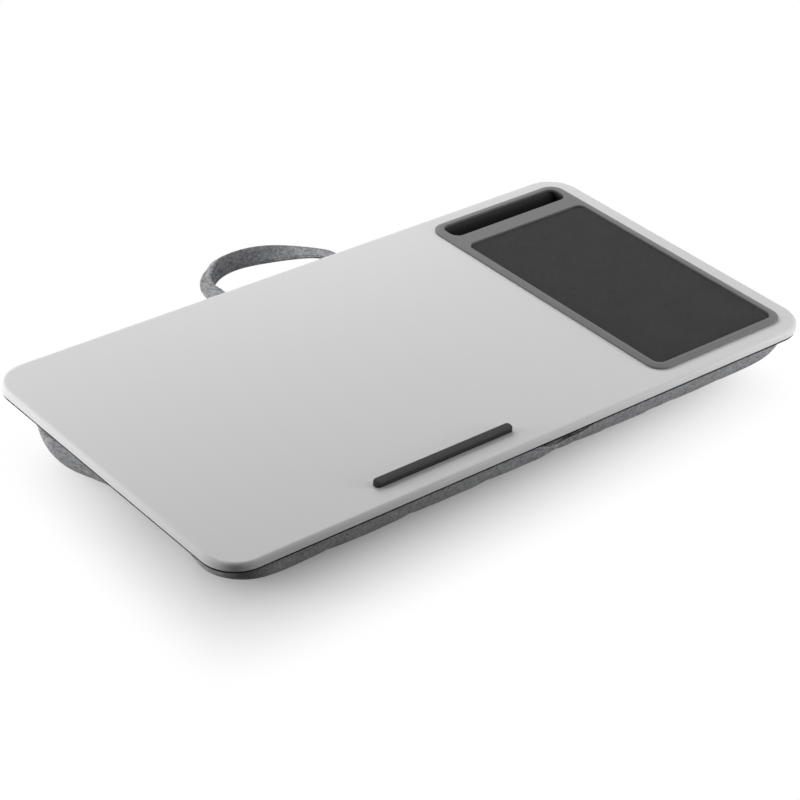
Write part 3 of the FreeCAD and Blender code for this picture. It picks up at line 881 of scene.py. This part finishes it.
def strap_surface(sizes, wide, deep, count):
    """Lines along the strap, each at its own place across it and through its thickness: points, directions
    along and directions through. A short slanted fold near the left end, where the strap is a little wider,
    sets it up on edge, and it lies flat again where its right end runs straight."""
    line = strap_line(sizes, count)
    walked = walked_along(line)
    hidden = sizes.hinge_y - sizes.sewn_y
    from_fold = (walked - hidden - sizes.fold_place)[:, None] + sizes.fold_slant * wide
    folded = smooth_step(-sizes.fold_length / 2, sizes.fold_length / 2, from_fold)
    upright = smooth_step(0, sizes.untwist, walked[-1] - walked - hidden - sizes.lead)
    roll = (sizes.fold_angle * folded * upright[:, None])[..., None]
    along = unit(np.gradient(line, axis=0))[:, None]
    level = unit(np.cross(along, (0.0, 0.0, 1.0)))
    across = level * np.cos(roll) + np.cross(along, level) * np.sin(roll)
    through = np.cross(along, across)
    spread = 1 + sizes.end_spread * smooth_step(sizes.fold_place, 0.0, walked - hidden)
    sideways = across * (spread[:, None] * wide)[..., None]
    points = line[:, None] + sideways + through * np.reshape(deep, (-1, 1))
    return points, np.broadcast_to(along, points.shape), through


def strap_rings(sizes, sewing, count):
    """Rings of the strap: a flat section with rounded edges, a little thicker along its two hems and drawn
    in under the stitch rows."""
    turn = np.linspace(0, 2 * math.pi, BAND_STEPS, endpoint=False)
    half = sizes.width / 2
    wide = half * np.sign(np.cos(turn)) * np.abs(np.cos(turn)) ** 0.55
    from_row = (half - sewing.hem) - np.abs(wide)
    hem = sewing.hem_rise * bell(from_row - sewing.hem_place, sewing.hem_width)
    drawn = sewing.row_depth * bell(from_row, sewing.row_width)
    thick = sizes.thickness / 2 - sewing.hem_rise + hem - drawn
    deep = thick * np.sign(np.sin(turn)) * np.abs(np.sin(turn)) ** 0.5
    return strap_surface(sizes, wide, deep, count)[0][None]


# Mouse pad

def mat_rings(sizes):
    """Rings of the mouse pad from the middle of its underside, out to its cut edge, round that edge as two
    quarter circles and in over the cloth, which rises to its middle as a parabola."""
    centre = (mat_low + mat_high) / 2
    half = (mat_high - mat_low) / 2
    foot_steps = 6
    edge_steps = 7
    top_steps = 25
    quarter = np.linspace(0, math.pi / 2, edge_steps)
    innermost = INNER_SHARE * half.x
    foot = np.linspace(innermost, sizes.foot_round, foot_steps, endpoint=False)
    top = np.linspace(sizes.top_round, innermost, top_steps)[1:]
    insets = np.concatenate([foot, sizes.foot_round * (1 - np.sin(quarter)),
                             sizes.top_round * (1 - np.cos(quarter)), top])
    heights = np.concatenate([np.full_like(foot, mat_low.z),
                              mat_low.z + sizes.foot_round * (1 - np.cos(quarter)),
                              mat_high.z - sizes.top_round * (1 - np.sin(quarter)),
                              mat_high.z + sizes.crown * (1 - (1 - top / innermost) ** 2)])
    least_radius = 0.0005
    radii = np.maximum(sizes.corner_radius - insets, least_radius)
    outlines = np.array([rounded_outline(half.x - inset, half.y - inset, radius, radius, MAT_STEPS)
                         for inset, radius in zip(insets, radii)])
    x, y = outlines[:, 0] + centre.x, outlines[:, 1] + centre.y
    return np.stack([x, y, np.broadcast_to(heights[:, None], x.shape)], axis=-1)


# Steps of the build

class LAPTRAY_OT_board(Operator):
    """Finish the board: pale grey lacquer over the black base panel"""
    bl_idname = "lap_tray.board"
    bl_label = "Board"

    def execute(self, context):
        colours = context.scene.lap_tray_colours
        paint_node("top_panel", lacquer_finish(colours))
        paint_node("base_panel", panel_finish(colours))
        return {"FINISHED"}


class LAPTRAY_OT_mouldings(Operator):
    """Finish the moulded pieces: the pad's frame, the phone slot and the laptop stop"""
    bl_idname = "lap_tray.mouldings"
    bl_label = "Mouldings"

    def execute(self, context):
        colours = context.scene.lap_tray_colours
        paint_node("pad_frame", moulded_finish("frame_moulding", colours.moulding, 0.5))
        paint_node("phone_tray", slot_finish_painted_shade(colours))
        paint_node("laptop_stop", moulded_finish("stop_moulding", colours.bar, 0.4))
        return {"FINISHED"}


class LAPTRAY_OT_fasteners(Operator):
    """Finish the screws and the strips that hold the cushion"""
    bl_idname = "lap_tray.fasteners"
    bl_label = "Fasteners"

    def execute(self, context):
        colours = context.scene.lap_tray_colours
        steel = steel_finish(colours)
        pile = pile_finish(colours)
        for node in ("frame_screws", "stop_screws"):
            paint_node(node, steel)
        for node in ("hook_strips", "loop_strips"):
            paint_node(node, pile)
        return {"FINISHED"}


class LAPTRAY_OT_mat(Operator):
    """Make the mouse pad: a mat with rounded cut edges and a slightly crowned cloth top"""
    bl_idname = "lap_tray.mat"
    bl_label = "Mouse pad"

    def execute(self, context):
        scene = context.scene
        cloth = mat_finish(scene.lap_tray_colours, scene.lap_tray_sewing)
        mesh = tube_mesh("mouse_mat", mat_rings(scene.lap_tray_mat)[None])
        mat = add_piece("mouse_mat", mesh, cloth)
        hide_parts("mouse_pad")
        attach(mat, TRAY_BODY)
        return {"FINISHED"}


class LAPTRAY_OT_cushion(Operator):
    """Make the stuffed cushion: a sewn cover with two chambers, filled by simulation"""
    bl_idname = "lap_tray.cushion"
    bl_label = "Cushion"

    def execute(self, context):
        scene = context.scene
        sizes = scene.lap_tray_cushion
        colours = scene.lap_tray_colours
        sewing = scene.lap_tray_sewing
        cloth = cloth_finish(colours, sewing)

        cover = bpy.data.objects.new("cover_pattern", tube_mesh("cover_pattern", cushion_rings(sizes)[None]))
        scene.collection.objects.link(cover)
        remesh = cover.modifiers.new("Even mesh", "REMESH")
        remesh.mode = "VOXEL"
        remesh.voxel_size = sizes.voxel
        calm = cover.modifiers.new("Calm", "SMOOTH")
        calm.factor = 0.5
        calm.iterations = 6
        cover.data = evaluated_copy(cover)
        cover.modifiers.clear()
        set_points(cover.data, fill_cover(cover, sizes))
        finer = cover.modifiers.new("Finer", "SUBSURF")
        finer.levels = 1
        finer.render_levels = 1
        mesh = evaluated_copy(cover)
        bpy.data.objects.remove(cover)
        if not len(mesh.vertices):
            raise RuntimeError("the cushion's cover has no points left after remeshing")

        sew_cover(mesh, sizes, sewing)
        wrap_cloth(mesh)
        cushion = add_piece("stuffed_cushion", mesh, cloth)
        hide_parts("cushion_cover", "left_fill", "right_fill")
        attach(cushion, TRAY_BODY)
        self.add_seam(sizes, sewing, cloth)
        self.add_stitches(sizes, sewing, thread_finish(colours))
        return {"FINISHED"}

    def add_seam(self, sizes, sewing, cloth):
        """The seam's folded cord, a round section carried along the seam."""
        line, along, outward = seam_path(sizes, sizes.seam_height, SEAM_STEPS)
        turn = np.linspace(0, 2 * math.pi, CORD_STEPS, endpoint=False)
        side = np.cross(outward, along)
        ring = side[:, None] * np.cos(turn)[:, None] + outward[:, None] * np.sin(turn)[:, None]
        mesh = tube_mesh("seam_cord", (line[:, None] + ring * sewing.piping_radius)[None], closed=True)
        wrap_tube(mesh, walked_along(line), turn * sewing.piping_radius)
        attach(add_piece("seam_cord", mesh, cloth), TRAY_BODY)

    def add_stitches(self, sizes, sewing, thread):
        """A row of stitches under the seam's cord and one along the channel under the cushion."""
        line, along, outward = seam_path(sizes, sizes.seam_height - sewing.seam_row, SEAM_STEPS)
        centres, (along, outward) = spaced(line, [along, outward], sewing.stitch_pitch, True)
        round_seam = stitches(centres, along, outward, sewing)
        run = np.array([-1.0, 1.0])[:, None] * (sizes.half_width - sizes.foot_inset)
        along, down = np.array([[0.0, 1.0, 0.0]] * 2), np.array([[0.0, 0.0, -1.0]] * 2)
        line = run * along + (sizes.channel_x, 0.0, sizes.groove_height + sewing.channel_row)
        centres, (along, down) = spaced(line, [along, down], sewing.stitch_pitch, False)
        in_channel = stitches(centres, along, down, sewing)
        mesh = tube_mesh("seam_stitches", np.concatenate([round_seam, in_channel]))
        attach(add_piece("seam_stitches", mesh, thread), TRAY_BODY)


class LAPTRAY_OT_strap(Operator):
    """Make the carry strap: one doubled cloth band with stitched hems, sewn into the cushion's rear seam"""
    bl_idname = "lap_tray.strap"
    bl_label = "Carry strap"

    def execute(self, context):
        scene = context.scene
        sizes = scene.lap_tray_strap
        sewing = scene.lap_tray_sewing
        colours = scene.lap_tray_colours
        cloth = bpy.data.materials.get("melange_cloth") or cloth_finish(colours, sewing)
        thread = bpy.data.materials.get("sewing_thread") or thread_finish(colours)

        rings = strap_rings(sizes, sewing, STRAP_STEPS)
        mesh = tube_mesh("strap_band", rings)
        wrap_tube(mesh, walked_along(rings[0].mean(axis=1)), walked_along(rings[0, 0]))
        band = add_piece("strap_band", mesh, cloth)
        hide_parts("strap_ends", "carry_strap")
        self.bend(band, sizes)

        faces = np.array([-1, 1, -1, 1])
        wide = np.array([-1, -1, 1, 1]) * (sizes.width / 2 - sewing.hem)
        points, along, through = strap_surface(sizes, wide, faces * (sizes.thickness / 2 - sewing.row_depth),
                                               STRAP_STEPS)
        rows = []
        for row, face in enumerate(faces):
            vectors = [along[:, row], through[:, row] * face]
            centres, (run, out) = spaced(points[:, row], vectors, sewing.stitch_pitch, False)
            rows.append(stitches(centres, run, out, sewing))
        sewn = add_piece("strap_stitches", tube_mesh("strap_stitches", np.concatenate(rows)), thread)
        self.bend(sewn, sizes)
        return {"FINISHED"}

    def bend(self, piece, sizes):
        """Bakes the piece's place into its mesh."""
        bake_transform(piece)


class LAPTRAY_OT_stage(Operator):
    """Set the stage: white floor, soft lights and the camera"""
    bl_idname = "lap_tray.stage"
    bl_label = "Stage"

    def execute(self, context):
        scene = context.scene
        stage = scene.lap_tray_stage
        scene.view_settings.view_transform = "Standard"
        self.add_floor(scene)
        self.add_sky(scene)
        for name, (place, size, glare) in STAGE_LIGHTS.items():
            self.add_light(scene, f"{name}_light", place, size, glare, getattr(stage, name))
        self.add_camera(scene)
        return {"FINISHED"}

    def add_floor(self, scene):
        """A white floor that keeps the tray's shadow near the board and is plain white for the eye further
        off. Between them, white light is painted in by distance from the board and fades the shadow. The fade
        leans so that the shadow reaches further at the front left.
        """
        stage = scene.lap_tray_stage
        reach = 6.0
        lean_along = 0.5
        mesh = bpy.data.meshes.new("floor")
        mesh.from_pydata([(-reach, -reach, 0), (reach, -reach, 0), (reach, reach, 0), (-reach, reach, 0)],
                         [], [(0, 1, 2, 3)])
        finish = Finish("floor_white", {"Roughness": 0.9, "Specular IOR Level": 0.0})
        place = finish.place()
        clouds = finish.noise(place, 3.0)
        floor = scene.lap_tray_colours.floor
        seen = finish.seen()
        shown = finish.mix(clouds, rgba(floor, 0.995), rgba(floor))
        material = finish.dress(finish.mix(seen, rgba(floor, stage.bounce), shown))
        x, y = finish.split(place)[:2]
        # Painted light: white is mixed into the floor by distance from the board, and the lean makes the
        # shadow reach further at the front left
        lean = stage.shadow_lean * (lean_along * x + y)
        beyond = self.beyond_board(x, y, stage.shadow_blend) + lean
        painted_white_share = finish.ramp(beyond, -stage.shadow_in, stage.shadow_out)
        white = finish.node("ShaderNodeEmission", None, {"Color": (1, 1, 1, 1), "Strength": 1.0})
        mixed = finish.node("ShaderNodeMixShader", None,
                            {0: painted_white_share * seen, 1: finish.shader.outputs[0], 2: white.outputs[0]})
        output = finish.tree.nodes["Material Output"]
        finish.feed(output.inputs["Surface"], mixed.outputs[0])
        mesh.materials.append(material)
        ground = bpy.data.objects.new("floor", mesh)
        scene.collection.objects.link(ground)

    def beyond_board(self, x, y, blend):
        """Distance of the floor from the board's outline, less than 0 under the board: the greater one of
        the distances along and across, which go over into each other as a hyperbola near the corners."""
        beyond_x = x.apply("ABSOLUTE") - board_high.x
        beyond_y = y.apply("ABSOLUTE") - board_high.y
        apart = ((beyond_x - beyond_y) ** 2 + blend ** 2).apply("SQRT")
        return (beyond_x + beyond_y + apart) * 0.5

    def add_sky(self, scene):
        """Even light from all round; the eye and reflections see it as white."""
        world = bpy.data.worlds.new("studio")
        world.use_nodes = True
        scene.world = world
        nodes = Nodes(world.node_tree)
        sky = scene.lap_tray_stage.sky
        background = nodes.tree.nodes["Background"].inputs
        nodes.feed(background["Color"], (1, 1, 1, 1))
        nodes.feed(background["Strength"], sky + (1 - sky) * nodes.seen())

    def add_light(self, scene, name, place, size, glare, power):
        """A square soft light at a place, turned towards the tray."""
        data = bpy.data.lights.new(name, "AREA")
        data.size = size
        data.energy = power
        light = bpy.data.objects.new(name, data)
        light.visible_camera = False
        light.visible_glossy = glare
        light.location = place
        light.rotation_euler = light.location.to_track_quat("Z", "Y").to_euler()
        scene.collection.objects.link(light)

    def add_camera(self, scene):
        """The camera at the photograph's viewing angle."""
        stage = scene.lap_tray_stage
        data = bpy.data.cameras.new("camera")
        data.lens = stage.lens
        data.clip_end = 50.0
        camera = bpy.data.objects.new("camera", data)
        camera.location = stage.eye
        camera.rotation_euler = stage.turn
        scene.collection.objects.link(camera)
        scene.camera = camera


# Sidebar and start

OPERATORS = (LAPTRAY_OT_board, LAPTRAY_OT_mouldings, LAPTRAY_OT_fasteners, LAPTRAY_OT_mat,
             LAPTRAY_OT_cushion, LAPTRAY_OT_strap, LAPTRAY_OT_stage)

SETTINGS = {"lap_tray_cushion": CushionSizes, "lap_tray_strap": StrapSizes, "lap_tray_mat": MatSizes,
            "lap_tray_sewing": SewingSizes, "lap_tray_colours": TrayColours, "lap_tray_stage": StageSettings}


class LAPTRAY_PT_sidebar(Panel):
    """Lists the steps of the build and all its settings"""
    bl_label = "Lap tray"
    bl_idname = "LAPTRAY_PT_sidebar"
    bl_space_type = "VIEW_3D"
    bl_region_type = "UI"
    bl_category = "Lap tray"

    def draw(self, context):
        for operator in OPERATORS:
            self.layout.operator(operator.bl_idname)
        for name, group in SETTINGS.items():
            box = self.layout.box()
            settings = getattr(context.scene, name)
            for size in group.__annotations__:
                box.prop(settings, size)


CLASSES = tuple(SETTINGS.values()) + OPERATORS + (LAPTRAY_PT_sidebar,)


def register():
    """Makes the classes and the scene's settings known to Blender."""
    for each in CLASSES:
        bpy.utils.register_class(each)
    for name, group in SETTINGS.items():
        setattr(bpy.types.Scene, name, PointerProperty(type=group))


def unregister():
    """Takes back what register did."""
    for name in SETTINGS:
        delattr(bpy.types.Scene, name)
    for each in reversed(CLASSES):
        bpy.utils.unregister_class(each)


def main():
    """Builds the tray in order."""
    register()
    bpy.ops.lap_tray.board()
    bpy.ops.lap_tray.mouldings()
    bpy.ops.lap_tray.fasteners()
    bpy.ops.lap_tray.mat()
    bpy.ops.lap_tray.cushion()
    bpy.ops.lap_tray.strap()
    bpy.ops.lap_tray.stage()


if __name__ == "__main__":
    main()
